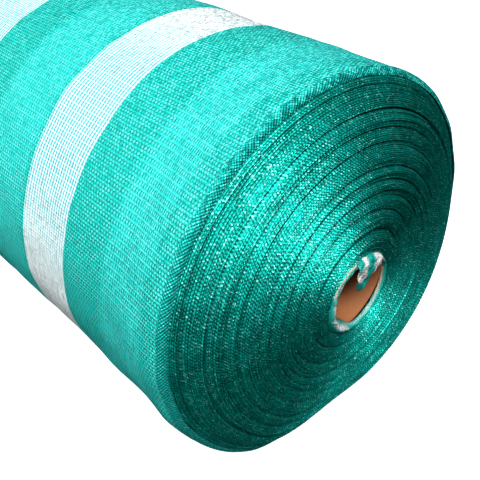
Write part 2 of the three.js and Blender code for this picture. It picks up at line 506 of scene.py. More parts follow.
def knitted_net(name):
    """Joins the stripes, the edges and the stitches into one finish."""
    material, add = new_material(name)
    place = add("UVMap", uv_map="knit")
    parts = add("SeparateXYZ", place)
    around, along = parts.outputs["X"], parts.outputs["Y"]
    moved, white, over_white = stripe_nodes(add, place, around, along)
    opening, lower_turns, painted_edge_shade = selvedge_nodes(add, along)
    own, tilt = stitch_nodes(add, around, moved)
    covered, knots, small_knots = cover_nodes(add, around, moved, white, over_white, lower_turns)

    front, apart, close = (math.radians(angle) * ROLL_RADIUS for angle in CHAINS_APART)
    from_front = add("Math ABSOLUTE", add("Math SUBTRACT", around, front))
    hidden = add("MapRange SMOOTHSTEP", from_front, apart, close, 0.0, CLOSED)
    hidden = add("Math MULTIPLY", hidden, white)
    shown = add("Math MAXIMUM", covered, hidden)

    gap = layer_colour(add, "gap", white, over_white)
    # painted shade: where the net opens, gap and tape are painted darker
    painted_gap_shade = add("Math MULTIPLY_ADD", opening, OPEN_PAINTED_SHADE_AND_SPREAD[0], 1.0)
    gap = add("HueSaturation", named={"Color": gap, "Value": painted_gap_shade})
    least = add("Math MULTIPLY_ADD", opening, OPEN_PAINTED_SHADE_AND_SPREAD[0], OWN_SHADE[0])
    added = add("Math MULTIPLY_ADD", opening, OPEN_PAINTED_SHADE_AND_SPREAD[1], OWN_SHADE[1])
    value = add("Math MULTIPLY_ADD", own, added, least)
    # painted shade at the rim and on the turns below
    value = add("Math MULTIPLY", value, painted_edge_shade)
    tape = layer_colour(add, "tape", white, over_white)
    tape = add("HueSaturation", named={"Color": tape, "Value": value})
    # painted highlight: pale glints painted on the brightest stitches' knots
    waxy = add("Math GREATER_THAN", own, PAINTED_GLINTS[0])
    on_knot = add("Math MULTIPLY", knots, PAINTED_GLINTS[1], use_clamp=True)
    glints = add("Math MULTIPLY", waxy, on_knot)
    tape = add("Mix RGBA", glints, tape, NET_COLOURS["glint"])

    small = add("Math MULTIPLY", small_knots, lower_turns)
    slope = add("Math MULTIPLY", tilt, RELIEF[2])
    relief = add("Math MULTIPLY_ADD", small, RELIEF[1], slope)
    relief = add("Math MULTIPLY_ADD", covered, RELIEF[0], relief)
    uncovered = add("Math SUBTRACT", 1.0, shown)
    dulled = add("Math MULTIPLY_ADD", opening, ROUGHNESS[1], ROUGHNESS[0])
    finished(
        add,
        add("Mix RGBA", shown, gap, tape),
        relief,
        Metallic=add("Math MULTIPLY", lower_turns, LOWER_METALLIC),
        Roughness=add("Math MULTIPLY_ADD", uncovered, ROUGHNESS[2], dulled),
        IOR=PLASTIC_IOR,
    )
    return material


net_finish = knitted_net("knitted_polyethylene_tape")
print("Net finish:", len(net_finish.node_tree.nodes), "nodes")

# %% [markdown]
# The outermost turn is one sheet of net, wound once round. Its radius grows through the turn like
# a spiral's, so at the back of the roll its cut end lies on its own beginning as a small step.
# Both its long edges round over the shoulders, where the net's open selvedge and the smaller
# stitches below it show. It could be a scaled cylinder with a cloth simulation, but the net is
# wound tight, so the wound form with slow waves is truer and repeats exactly.

# %% The outermost turn

AROUND = 240  # columns for one turn
BODY_STEP = 6 * MM
SHOULDER_TURN = np.radians([15, 30, 45, 60, 75, 90])
OVERLAP = 9.0  # degrees by which the cut end lies over the beginning
NET_THICKNESS = 1.3 * MM
LOW_SIDE = (248, 34, 3.4 * MM)  # the sheet hangs out here: angle, spread and height
HANGS_TO = 0.478  # from here to the shoulder it hangs out less and less
LOOSE_END = (1.4 * MM, 0.78, 0.93)  # how loose the cut end lies, and where along the turn


def length_over(along, radius):
    """The length of a line from its first point to each of its points."""
    steps = (np.diff(values, prepend=values[0]) for values in (along, radius))
    return np.cumsum(np.hypot(*steps))


def skin_rows():
    """Distances from the middle and radii across the sheet: along the body, then a quarter
    circle over the near shoulder, and the same mirrored over the far one."""
    body = np.linspace(0.0, SHOULDER_AT - SHOULDER_ROUND, round(SHOULDER_AT / BODY_STEP))
    over = SHOULDER_AT - SHOULDER_ROUND * (1 - np.sin(SHOULDER_TURN))
    distance = np.concatenate([body, over])
    down = ROLL_RADIUS - SHOULDER_ROUND * (1 - np.cos(SHOULDER_TURN))
    radius = np.concatenate([np.full(len(body), ROLL_RADIUS), down])
    return (np.concatenate([-distance[:0:-1], distance]), np.concatenate([radius[:0:-1], radius]))


def outer_turn():
    """The angle runs once round and a little further, and the lift grows evenly with it. The
    last column drops by the net's thickness to close the cut edge."""
    along, radius = skin_rows()
    distance = np.abs(along)[:, None]
    share = np.linspace(0.0, 1 + OVERLAP / 360, round(AROUND * (1 + OVERLAP / 360)))
    share = np.append(share, share[-1])[None, :]
    degrees = STEP_ANGLE + 360.0 * share
    arc = np.radians(360.0 * share) * ROLL_RADIUS
    at, spread, height = LOW_SIDE
    hangs = height * bell(turn_from(degrees, at), spread)
    lift = STEP_HEIGHT * (share - 0.5) + ripple(SKIN_WAVES, arc, along[:, None])
    lift = lift + hangs * (1 - soft_step(distance, HANGS_TO, SHOULDER_AT))
    lift = lift + LOOSE_END[0] * soft_step(share, *LOOSE_END[1:])
    lift[:, -1] -= NET_THICKNESS
    points = net_point(distance, 1, radius[:, None], degrees, lift)
    points[..., 0] *= np.where(along < 0, -1, 1)[:, None]
    over = length_over(along, radius)
    knit = pairs(arc, (over - over[-1] / 2)[:, None])
    return points, knit, pairs(share / share.max(), (over / over[-1])[:, None])


points, knit, unit = outer_turn()
outer = make_piece(
    "outer_turn",
    points,
    grid_faces(*points.shape[:2])[:, ::-1],
    net_finish,
    {"knit": knit, "OFBake": unit},
    node="net_roll",
)
count(outer)

# %% [markdown]
# At the ends the net shows its edge, and that edge is a single line, wound some fifty times round
# the tube. So each end is one profile carried along a spiral: a ridge for each row of stitches,
# and gaps beside them. Neighbouring turns share the points in the gap between them. How far a
# ridge reaches out follows the roll's bundles: where the winder let the net run aside for a turn,
# a dark groove stayed. A real turn is 1.6 mm, and too fine to show, so turns are drawn coarser.

# %% How far the wound edges reach

TURN = 2.35 * MM  # coarser than the real 1.6 mm, so that single turns show in a picture
FIRST_TURN = ROLL_RADIUS - SHOULDER_ROUND + TURN / 2
LAST_RADIUS = 0.0335
TURNS = (FIRST_TURN - LAST_RADIUS) / TURN
GROOVES = (  # radius, how far behind the furthest edges, and how much deeper its gap is
    (0.1478, 0.0196, 1.4 * MM),
    (0.1337, 0.0112, 6.0 * MM),
    (0.1223, 0.0086, 1.6 * MM),
    (0.1123, 0.0059, 2.2 * MM),
    (0.0973, 0.0026, 2.4 * MM),
    (0.0886, 0.0022, 2.5 * MM),
    (0.0770, 0.0024, 2.4 * MM),
    (0.0651, 0.0026, 2.5 * MM),
    (0.0500, 0.0028, 3.0 * MM),
    (0.0370, 0.0034, 1.0 * MM),
)
MAIN_GROOVES = tuple((groove[0], groove[2]) for groove in GROOVES)
FINE_GROOVES = (  # radius, and how much deeper the gap is
    (0.1430, 0.8 * MM),
    (0.1285, 0.8 * MM),
    (0.1185, 0.5 * MM),
    (0.1050, 0.8 * MM),
    (0.0810, 1.2 * MM),
    (0.0712, 1.4 * MM),
    (0.0595, 0.8 * MM),
    (0.0440, 0.8 * MM),
)
MOUTH_LIP = (0.0315, 0.0046)
RINGS = np.array(
    [(ROLL_RADIUS - SHOULDER_ROUND, FACE_AT - SHOULDER_AT)]
    + [groove[:2] for groove in GROOVES]
    + [MOUTH_LIP]
)
BUNDLE_SWELL, CROWN_AT = 0.14, 0.42  # a bundle stands out by, and at, this share of its width
FALL_AWAY = 1.5  # slope of the edges under the outermost turn


def behind_at(radius):
    """How far behind the furthest edges the net's edge lies at a radius. Between two grooves it
    is a straight slope from one to the other, less a half wave whose crown sits nearer the outer
    one. Beyond the first it falls away, under the outermost turn."""
    inward = np.searchsorted(-RINGS[:, 0], -np.asarray(radius), side="right") - 1
    inward = np.clip(inward, 0, len(RINGS) - 2)
    outer_ring, inner_ring = RINGS[inward], RINGS[inward + 1]
    width = outer_ring[..., 0] - inner_ring[..., 0]
    share = (outer_ring[..., 0] - radius) / width
    slope = mix(outer_ring[..., 1], inner_ring[..., 1], share)
    bend = math.log(0.5) / math.log(CROWN_AT)
    crown = np.sin(np.pi * np.clip(share, 0.0, 1.0) ** bend)
    beyond = np.maximum(radius - RINGS[0, 0], 0.0) * FALL_AWAY
    return slope - BUNDLE_SWELL * width * crown + beyond


print("Turns at each end:", round(TURNS, 1))
print("Behind the furthest edges at 120 mm:", round(float(behind_at(0.120)), 4))

# %% [markdown]
# The wound edge's own finish: the same tape seen on edge, so mostly shadow between turns. It is
# darker than the outside, because light that enters a gap doesn't come out again. Its stitches
# show as small light marks on the ridges. Later, small loops are stood on the first of a turn's
# two rows, and the second row has these marks alone.

# %% Edge of the knitted net, in its own shade

EDGE_COLOURS = {"stitch": "#00b3a6", "gap": "#006159", "painted glint": "#a6ece2"}
STITCH = 2.6 * MM  # from one to the next along the edge
FIRST_ROW = 0.35  # the stitches' place across a turn; the row between them is half a turn further
PATCH = 14 * MM  # slow patches of lighter and darker edge
OWN_LIGHT, KNOT_LIGHT, PATCH_LIGHT = 0.5, 0.4, -0.25
PAINTED_EDGE_GLINTS = (0.9, 0.6, 0.25)  # painted glints: the shade above which a stitch gets one, more on its knot, and all over
EDGE_RELIEF = (0.11 * MM, 0.4)  # a knot's height, and the share that a stitch has of its own
EDGE_GLOSS = {"Metallic": 0.8, "Roughness": 0.53, "IOR": PLASTIC_IOR}


def net_edge(name):
    """The map's first part is the length along the spiral, and the second the place across a
    turn. Stitches lie in two rows for each turn, like a chessboard, each in its own shade."""
    material, add = new_material(name)
    parts = add("SeparateXYZ", add("UVMap", uv_map="edge"))
    in_stitches = add("Math MULTIPLY", parts.outputs["X"], 1 / STITCH)
    across = parts.outputs["Y"]
    halves = (add("Math MULTIPLY", part, 2.0) for part in (in_stitches, across))
    cell = add("CombineXYZ", *(add("Math FLOOR", half) for half in halves))
    own = add("TexWhiteNoise 2D", cell)

    turn = 2 * math.pi
    rows = add("Math MULTIPLY_ADD", across, turn, -turn * FIRST_ROW)
    rows = add("Math COSINE", rows)
    knots = add("Math MULTIPLY", wave(add, in_stitches, 1.0), rows)
    place = add("TexCoord").outputs["Object"]
    patches = add("TexNoise", place, named={"Scale": 1 / PATCH, "Detail": 3.0})
    lit = add("Math ADD", patches, PATCH_LIGHT)
    lit = add("Math MULTIPLY_ADD", own, OWN_LIGHT, lit)
    lit = add("Math MULTIPLY_ADD", knots, KNOT_LIGHT, lit, use_clamp=True)
    # painted highlight: pale glints painted on the brightest stitches, more on their knots
    pale = add("Math GREATER_THAN", own, PAINTED_EDGE_GLINTS[0])
    on_knot = add("Math MULTIPLY_ADD", knots, *PAINTED_EDGE_GLINTS[1:], use_clamp=True)
    painted_edge_glints = add("Math MULTIPLY", pale, on_knot)

    colour = add("Mix RGBA", lit, EDGE_COLOURS["gap"], EDGE_COLOURS["stitch"])
    relief = add("Math MULTIPLY_ADD", own, EDGE_RELIEF[1], knots)
    colour = add("Mix RGBA", painted_edge_glints, colour, EDGE_COLOURS["painted glint"])
    finished(add, colour, relief, EDGE_RELIEF[0], **EDGE_GLOSS)
    return material


edge_finish = net_edge("edge_of_knitted_tape")
print("Edge finish:", len(edge_finish.node_tree.nodes), "nodes")

# %% [markdown]
# Now the spiral itself, as a long narrow grid: columns follow the winding inwards, and five rows
# of points cross one turn from gap to gap, over two ridges and the dip between them. Two slow
# sums of cosines keep it from being ruled: one lets the edge wander in and out, the other opens
# some gaps and closes others.

# %% The wound edges at both ends

SIDES = {"near": 1, "far": -1}
EDGE_SEED = 30
PER_TURN = 250
RIDGE = 0.8 * MM
LOW_RIDGE = 0.8  # dips lie behind the edge's line by this share of a ridge
GAP_DEPTH = 0.1 * MM
GAP_OPENS = (0.7, 0.5)  # the least share of the depth, and how much the slow sum adds
BESIDE = 0.45  # the stitches beside a main groove lean into it, by this share of its depth
GROOVE_EDGE = (0.4, 0.6)  # turns from a groove's middle, where its depth fades
WANDERS, OPENS = (9.0, 0.28 * MM), (5.0, 1.0)  # the fastest rate, and the height
SLOWEST, COSINES = 0.29, 16  # rates are in waves for each turn
ACROSS = np.array([0.5, 0.35, 0.0, -0.15, -0.5])  # shares of a turn, from the outer gap inwards
RISE = np.array([0.0, 1.0, 0.0, 1.0, 0.0])  # 0 between two rows of stitches, 1 on a row
FACE_WIDTH = 2.2 * ROLL_RADIUS  # of the square that the end fills in its map for baking


def winding_noise(seed, winding, rate, height):
    """A sum of cosines of the winding, with at most rate waves for each turn."""
    draw = np.random.default_rng(seed)
    rates = np.exp(draw.uniform(math.log(SLOWEST), math.log(rate), COSINES))
    starts = draw.uniform(0, 2 * np.pi, COSINES)
    waves_here = np.cos(2 * np.pi * np.multiply.outer(winding, rates) + starts)
    return height * waves_here.sum(axis=-1) / math.sqrt(COSINES / 2)


def ridge_reach(winding, radius, seed):
    """How far behind the furthest edges the ridge lies, with its wander."""
    return behind_at(radius) + winding_noise(seed, winding, *WANDERS)


def aside(winding, grooves):
    """How deep a groove is, for one whole turn each: a turn that the winder let run aside."""
    depth = np.zeros_like(winding)
    for at, deeper in grooves:
        away = np.abs(winding - (FIRST_TURN - at) / TURN)
        depth = depth + deeper * (1.0 - soft_step(away, *GROOVE_EDGE))
    return depth


def gap_below(winding, seed):
    """The gap's depth under the stitches: it varies along the winding, and the grooves add."""
    least, more = GAP_OPENS
    opened = np.maximum(winding_noise(seed + 1, winding, *OPENS), 0.0)
    depth = GAP_DEPTH * (least + more * opened)
    return depth + aside(winding, MAIN_GROOVES) + aside(winding, FINE_GROOVES)


def wound_edges(side, seed):
    """Angle = the step's angle less a full turn for each turn inwards, and radius shrinks evenly
    with it. Each column is the ridges' profile at that place. The point in a gap lies at the
    mean of its two turns' reaches, lowered by the gap's depth, so both turns meet in it."""
    winding = (np.arange(round(TURNS * PER_TURN) + 1) / PER_TURN)[None, :]
    across, rise = ACROSS[:, None], RISE[:, None]
    layer = FIRST_TURN - TURN * winding
    radius = layer + across * TURN
    gap_of = winding + (across < 0)  # the inner gap belongs to the next turn
    leaning = BESIDE * aside(gap_of, MAIN_GROOVES) * (across != 0)
    on_row = ridge_reach(winding, radius, seed) + RIDGE * (LOW_RIDGE - rise) + leaning
    reaches = ridge_reach(gap_of - 1, radius, seed) + ridge_reach(gap_of, radius, seed)
    in_gap = 0.5 * reaches + LOW_RIDGE * RIDGE + gap_below(gap_of, seed)
    behind = np.where(np.abs(across) < 0.5, on_row, in_gap)
    points = net_point(FACE_AT - behind, side, radius, STEP_ANGLE - 360.0 * winding)
    length = np.cumsum(2 * np.pi * layer / PER_TURN, axis=1)
    flat = 0.5 + (points[..., 1:] - np.array([0.0, AXIS_HEIGHT])) / FACE_WIDTH
    return points, pairs(length, across), flat


for name, side in SIDES.items():
    points, edge, flat = wound_edges(side, EDGE_SEED + side)
    piece = make_piece(
        f"{name}_edges",
        points,
        grid_faces(*points.shape[:2])[:, ::side],  # turned round, so that both face outwards
        edge_finish,
        {"edge": edge, "OFBake": flat},
        smooth=False,
    )
    count(weld(piece))

# %% [markdown]
# Along the edge the tape turns back at every stitch, so a row of small loops stands on each
# turn's first ridge. They are what shimmers: each is a short glossy prism that lies along the
# winding, so its flanks face outwards and inwards but hardly ever along. Where the roll's radius
# points at the light the loops shine, and a quarter turn further on they stay dark, as on a
# brushed disc. Twelve thousand are needed at each end, so a loop is only fourteen triangles:
# three sections of three points, the outer ones smaller. One array computation places, turns and
# sizes all of them, with local axes along the edge, outwards, and out of the end.

# %% Tape loops on the edges

LOOP_SEED = 50
LOOP_HALF = 0.75 * MM
SECTION = np.array([[0.35, -0.45], [0.0, 0.3], [-0.62, -0.3]]) * MM  # outwards, out of the end
TAPER = np.array([0.75, 1.0, 0.75])[:, None, None]
SLEW = np.array([0.0, 0.0, math.radians(-2.0)])  # they all lie aslant to the winding
TURNED = (0.09, 0.07, 0.08)  # radians, about each local axis
PLACED = (0.08, 0.07)  # how unevenly: shares of a stitch along the edge, and of a turn across it
SIZES = (0.85, 1.12)
FINE_STEPS = 40000  # along the whole spiral, to measure its length
AHEAD, OUTSIDE = 0.5, 0.3 * MM  # degrees and metres to the neighbours that give the axes


def loop_faces():
    """A triangle closes each end, and two triangles make each of the six flanks."""
    faces = [[0, 2, 1], [6, 7, 8]]
    for row in (0, 3):
        ring = [(k + row, (k + 1) % 3 + row) for k in range(3)]
        faces += [[a, b, b + 3] for a, b in ring] + [[a, b + 3, a + 3] for a, b in ring]
    return np.array(faces)


def turned(number, draw):
    """A small random turn for each loop, as matrices: an axis of random heading, with its length
    as the angle, by Rodrigues' formula."""
    axis = draw.normal(0.0, TURNED, (number, 3)) + SLEW
    angle = np.linalg.norm(axis, axis=1)[:, None, None] + 1e-9
    x, y, z = (axis / angle[:, :, 0]).T
    zero = np.zeros_like(x)
    cross = np.stack([zero, -z, y, z, zero, -x, -y, x, zero], axis=-1).reshape(-1, 3, 3)
    return np.eye(3) + np.sin(angle) * cross + (1 - np.cos(angle)) * (cross @ cross)


def loop_shape():
    """Three sections along the loop; the two at its ends are smaller by the taper."""
    sections = np.zeros((3, 3, 3))
    sections[..., 0] = np.array([-1.0, 0.0, 1.0])[:, None] * LOOP_HALF
    sections[..., 1:] = SECTION * TAPER
    return sections.reshape(-1, 3)


def scaled_to_one(vectors):
    """Vectors divided by their lengths."""
    return vectors / np.linalg.norm(vectors, axis=1)[:, None]


def edge_loops(side, seed):
    """Places evenly spaced along the spiral. Each has a frame of its own from the roll's form:
    the difference between neighbouring points gives the direction along the edge and outwards,
    and their cross product points out of the end."""
    draw = np.random.default_rng(seed)
    fine = np.linspace(0.0, TURNS, FINE_STEPS)
    layer = FIRST_TURN - TURN * fine
    length = np.concatenate([[0.0], np.cumsum(2 * np.pi * layer[:-1] * np.diff(fine))])
    places = np.arange(0.0, length[-1], STITCH)
    places = places + draw.normal(0.0, PLACED[0] * STITCH, len(places))
    winding = np.interp(places, length, fine)
    radius = FIRST_TURN - TURN * (winding - FIRST_ROW)
    radius = radius + draw.normal(0.0, PLACED[1] * TURN, len(winding))
    degrees = STEP_ANGLE - 360.0 * winding
    distance = FACE_AT - ridge_reach(winding, radius, EDGE_SEED + side)
    distance = distance - BESIDE * aside(winding, MAIN_GROOVES)
    centre = net_point(distance, side, radius, degrees)[0]
    ahead = net_point(distance, side, radius, degrees - AHEAD)[0]
    outside = net_point(distance, side, radius + OUTSIDE, degrees)[0]
    along = scaled_to_one(ahead - centre)
    outward = outside - centre
    outward -= (outward * along).sum(axis=1)[:, None] * along
    outward[:, 0] = 0.0
    out_of_end = np.zeros_like(centre)
    out_of_end[:, 0] = side
    axes = np.stack([along, scaled_to_one(outward), out_of_end], axis=1)
    shapes = loop_shape() * draw.uniform(*SIZES, (len(centre), 1, 3))
    shapes = shapes @ turned(len(centre), draw).transpose(0, 2, 1)
    return centre[:, None, :] + shapes @ axes, draw.random(len(centre))


LOOP_TONES = {0.0: "#007d73", 0.35: "#00968b", 0.75: "#00aa9e", 0.92: "#16baae", 1.0: "#78e0d6"}
LOOP_GLOSS = {
    "Metallic": 0.85,
    "Roughness": 0.6,
    "IOR": PLASTIC_IOR,
    "Coat Weight": 0.25,
    "Coat Roughness": 0.15,
}


def loop_finish(name):
    """Glossy tape in the net's green; a loop's tone makes it anything from deep to pale, as the
    tape's face or its edge shows. Light also comes back from inside the tape and is green then,
    so a good part of the sheen is coloured as a metal's is; the waxy surface adds white glints."""
    material, add = new_material(name)
    tone = add("Attribute", attribute_name="tone").outputs["Fac"]
    colour = add("ValToRGB", tone)
    shades = colour.color_ramp.elements
    for position in list(LOOP_TONES)[1:-1]:
        shades.new(position)
    for shade, hex_colour in zip(shades, LOOP_TONES.values()):
        shade.color = linear(hex_colour)
    finished(add, colour, **LOOP_GLOSS)
    return material


loops_finish = loop_finish("glossy_tape_loops")
for name, side in SIDES.items():
    points, tones = edge_loops(side, LOOP_SEED + side)
    faces = np.arange(len(points))[:, None, None] * points.shape[1] + loop_faces()
    faces = faces.reshape(-1, 3)[:, ::-side]  # turned round, so that both face outwards
    piece = make_piece(f"{name}_loops", points, faces, loops_finish, smooth=False)
    attribute = piece.data.attributes.new("tone", "FLOAT", "POINT")
    attribute.data.foreach_set("value", np.repeat(tones, points.shape[1]).astype(np.float32))
    count(piece)

# %% [markdown]
# The tube is spiral-wound kraft board: strips of brown paper glued on each other at a slant, so a
# fine seam climbs round its bore. Its board is painted brighter in the bore, which lies in shade,
# and darker over the last stretch at the mouth, where light falls: painted light and shade. The
# tube could be two cylinders, but the bore is seen up close, so the wall is one closed profile
# turned round the axis, with a rounded rim, a slight waviness, and a mouth that flares where the
# net's end was pushed in. It ends a little further out than the solid tube does.

# %% Cardboard tube

SEAM_PITCH, SEAM_WIDTH = 0.085, 0.012  # one climb of the seam, and its share of that
FIBRES = 1.5 * MM
BOARD_COLOURS = {"dark fibre": "#81522f", "light fibre": "#a46c43", "seam": "#4a2f1e"}
BORE_PAINTED_LIGHT = (0.496, 0.5115, 1.3, 0.95)  # painted light along the tube: where it changes, the brightness in the bore, and at the mouth
BOARD_RELIEF = (0.2 * MM, 0.35)  # its height, and how strongly it shows
BOARD_GLOSS = {"Roughness": 0.78, "IOR": 1.5}

MOUTH_FLARE = (12 * MM, 5.6 * MM, 4.4 * MM)  # the last stretch, and how far its faces open
RIM_BEND = np.radians(np.linspace(-90, 90, 9))
TUBE_STATIONS, OUTER_EVERY, TUBE_COLUMNS = 60, 6, 97
BORE_WAVER = (0.15 * MM, 3, 0.1 * MM, 130)  # height and waves for a turn, height and rate along
BORE_SKIN = 0.5 * MM


def kraft_board(name):
    """Fibres mottle the brown, a thin dark seam climbs with the angle, and painted light follows
    the
    place along the tube: the board is painted brighter in the bore and darker over the last stretch
    at the mouth. The map's parts are the share of a turn and that place in metres."""
    material, add = new_material(name)
    parts = add("SeparateXYZ", add("UVMap", uv_map="board"))
    turned_by, along = parts.outputs["X"], parts.outputs["Y"]
    climb = add("Math MULTIPLY_ADD", along, 1 / SEAM_PITCH, turned_by)
    seam = add("MapRange", add("Math PINGPONG", climb, 0.5), SEAM_WIDTH, 0.0, 0.0, 1.0)
    place = add("TexCoord").outputs["Object"]
    fibres = add("TexNoise", place, named={"Scale": 1 / FIBRES, "Detail": 4.0, "Roughness": 0.65})
    browns = (BOARD_COLOURS["dark fibre"], BOARD_COLOURS["light fibre"])
    paper = add("Mix RGBA", fibres, *browns)
    # painted light: brighter in the bore, darker over the last stretch at the mouth
    painted_bore_light = add("MapRange SMOOTHSTEP", along, *BORE_PAINTED_LIGHT)
    paper_with_painted_light = add("HueSaturation", named={"Color": paper, "Value": painted_bore_light})
    colour = add("Mix RGBA", seam, paper_with_painted_light, BOARD_COLOURS["seam"])
    finished(add, colour, fibres, *BOARD_RELIEF, **BOARD_GLOSS)
    return material


def tube_wall():
    """A closed outline of the wall, carried round the axis. The rim is a half circle as thick as
    the wall, and the bore wavers by a fraction of a millimetre."""
    wall = (TUBE_OUTER - TUBE_INNER) / 2
    middle = (TUBE_OUTER + TUBE_INNER) / 2
    inner = np.linspace(TUBE_FAR + wall, TUBE_NEAR - wall, TUBE_STATIONS)
    outer = inner[::-OUTER_EVERY]
    out, up = wall * np.cos(RIM_BEND)[1:-1], wall * np.sin(RIM_BEND)[1:-1]
    along = np.concatenate([inner, TUBE_NEAR - wall + out, outer, TUBE_FAR + wall - out, inner[:1]])
    faces = (np.full(len(inner), TUBE_INNER), np.full(len(outer), TUBE_OUTER))
    radius = np.concatenate([faces[0], middle + up, faces[1], middle - up, faces[0][:1]])

    degrees = np.linspace(0.0, 360.0, TUBE_COLUMNS)[None, :]
    angle = np.radians(degrees)
    bore = bell(radius - TUBE_INNER, BORE_SKIN)[:, None]
    height, number, slow_height, rate = BORE_WAVER
    waver = height * np.cos(np.radians(number * degrees)) * bore
    waver = waver + slow_height * np.sin(along * rate)[:, None] * bore
    at_mouth = soft_step(along, TUBE_NEAR - MOUTH_FLARE[0], TUBE_NEAR)
    outside = (radius - TUBE_INNER) / (TUBE_OUTER - TUBE_INNER)
    r = (radius + at_mouth * mix(*MOUTH_FLARE[1:], outside))[:, None] + waver
    y = AXIS_ASIDE + CORE_DRIFT[0] + r * np.sin(angle)
    z = AXIS_HEIGHT + CORE_DRIFT[1] + r * np.cos(angle)
    points = np.stack([np.broadcast_to(along[:, None], r.shape), y, z], axis=-1)
    over = length_over(along, radius)[:, None]
    return points, pairs(degrees / 360, along[:, None]), pairs(degrees / 360, over / over[-1])


points, board, unit = tube_wall()
tube = make_piece(
    "cardboard_tube",
    points,
    grid_faces(*points.shape[:2]),
    kraft_board("spiral_wound_kraft_board"),
    {"board": board, "OFBake": unit},
    node="core_tube",
)
count(weld(tube))

# %% [markdown]
# The net's first end was pushed over the tube's rim into the bore before winding, which is how a
# winder fixes it. It shows as a folded rim of loose net in green and white, with one corner
# hanging free into the mouth. At the back the fold stays outside the rim, which is bare there.
# Both are thin sheets laid along runs like the solid's, with the smooth curve through their
# points, and slow waves crumple them.

# %% The tucked end's form

FOLD = (  # radius, and how far behind the furthest edges
    (0.0348, 0.0042),
    (0.0337, 0.0026),
    (0.0320, 0.0019),
    (0.0300, 0.0025),
    (0.0279, 0.0046),
    (0.0264, 0.0070),
    (0.0258, 0.0090),
)
FOLD_GRID = (33, 481)  # points across it, and round the ring
BARE = (56, 198, 20)  # from and to these angles, softly, the fold stays outside the tube's rim
BARE_PULL = ((FOLD[0][0], 0.75), (0.003, 0.45))  # to this radius and depth, by these shares
LIP = (215, 285, 12)  # between these angles the fold is fuller, softly
LIP_OUT, LIP_FORWARD = 0.4 * MM, 1.1 * MM
BULGE = (0.35, 0.3)  # where across the fold it is fullest, and how far to each side
RING_WAVERS = ((0.5 * MM, 5, 1), (0.35 * MM, 9, 4))  # height, waves round the ring, and start
WAVER_SHARE, CRUMPLE_SHARE = 0.4, 0.3
RING, FOLD_WIDTH = 0.03, 0.016  # turn the angle and the share across into metres
FOLD_CRUMPLE = waves(71, 14, (0.004, 0.016), 0.3 * MM)
CLEAR_OF_BORE = 25.2 * MM  # the fold comes no closer to the axis than this

FLAP = (  # height over the bore's centre, how far behind, the middle's place, and half the width
    (0.0352, 0.0030, 0.0080, 0.0150),
    (0.0330, 0.0002, 0.0076, 0.0150),
    (0.0295, -0.0010, 0.0066, 0.0148),
    (0.0245, -0.0014, 0.0053, 0.0140),
    (0.0180, -0.0010, 0.0036, 0.0112),
    (0.0108, 0.0000, 0.0014, 0.0075),
    (0.0042, 0.0012, -0.0012, 0.0018),
)
FLAP_GRID = (45, 61)  # points down it, and across it
FLAP_DROP, DROP_FADES = 0.03, 0.7  # its height, and how the ring's curve fades down it
FLAP_CRUMPLE = waves(73, 12, (0.005, 0.02), 0.5 * MM)
SIDES_UP = (2.5 * MM, 0.5, 1.0)  # how far the sides rise, and where along the flap
SIDES_CURL = (1.8 * MM, 0.2, 0.8)  # and how far they curl back


def along_run(run, share):
    """Places along a table of points, by the smooth curve through them (Catmull-Rom)."""
    table = np.array(run)
    table = np.vstack([2 * table[0] - table[1], table, 2 * table[-1] - table[-2]])
    at = np.clip(share * (len(run) - 1), 0, len(run) - 1 - 1e-9)
    first = at.astype(int)
    t = (at - first)[:, None]
    a, b, c, d = (table[first + k] for k in range(4))
    return 0.5 * (
        2 * b + (c - a) * t + (2 * a - 5 * b + 4 * c - d) * t**2 + (3 * b - 3 * c + d - a) * t**3
    )


def sector(degrees, start, stop, soft=6.0):
    """1 between two angles and 0 outside, with soft ends. Angles may pass 360."""
    middle, half = (start + stop) / 2, (stop - start) / 2
    return 1 - soft_step(np.abs(turn_from(degrees, middle)), half - soft, half + soft)


def fold_sheet():
    """The angle runs right round, and a share runs from outside the rim into the bore. In the
    lower front the fold is fuller, as a lip; the whole ring wavers with the angle."""
    share = np.linspace(0.0, 1.0, FOLD_GRID[0])[:, None]
    degrees = np.linspace(0.0, 360.0, FOLD_GRID[1])[None, :]
    run = along_run(FOLD, share[:, 0])
    turn = np.radians(degrees)
    lip, bare = sector(degrees, *LIP), sector(degrees, *BARE)
    waver = sum(height * np.cos(number * turn + start) for height, number, start in RING_WAVERS)
    waver = WAVER_SHARE * waver
    crumple = ripple(FOLD_CRUMPLE, turn * RING, share * FOLD_WIDTH)
    bulge = bell(share - BULGE[0], BULGE[1])
    radius = run[:, :1] + bulge * (LIP_OUT * lip + waver) + CRUMPLE_SHARE * crumple
    behind = run[:, 1:] - bulge * (LIP_FORWARD * lip + waver) * (1 - bare) + crumple
    radius, behind = (
        value + (to - value) * pull * bare for value, (to, pull) in zip((radius, behind), BARE_PULL)
    )
    points = net_point(FACE_AT - behind, 1, np.maximum(radius, CLEAR_OF_BORE), degrees)
    points[:, -1] = points[:, 0]
    return points, share, degrees


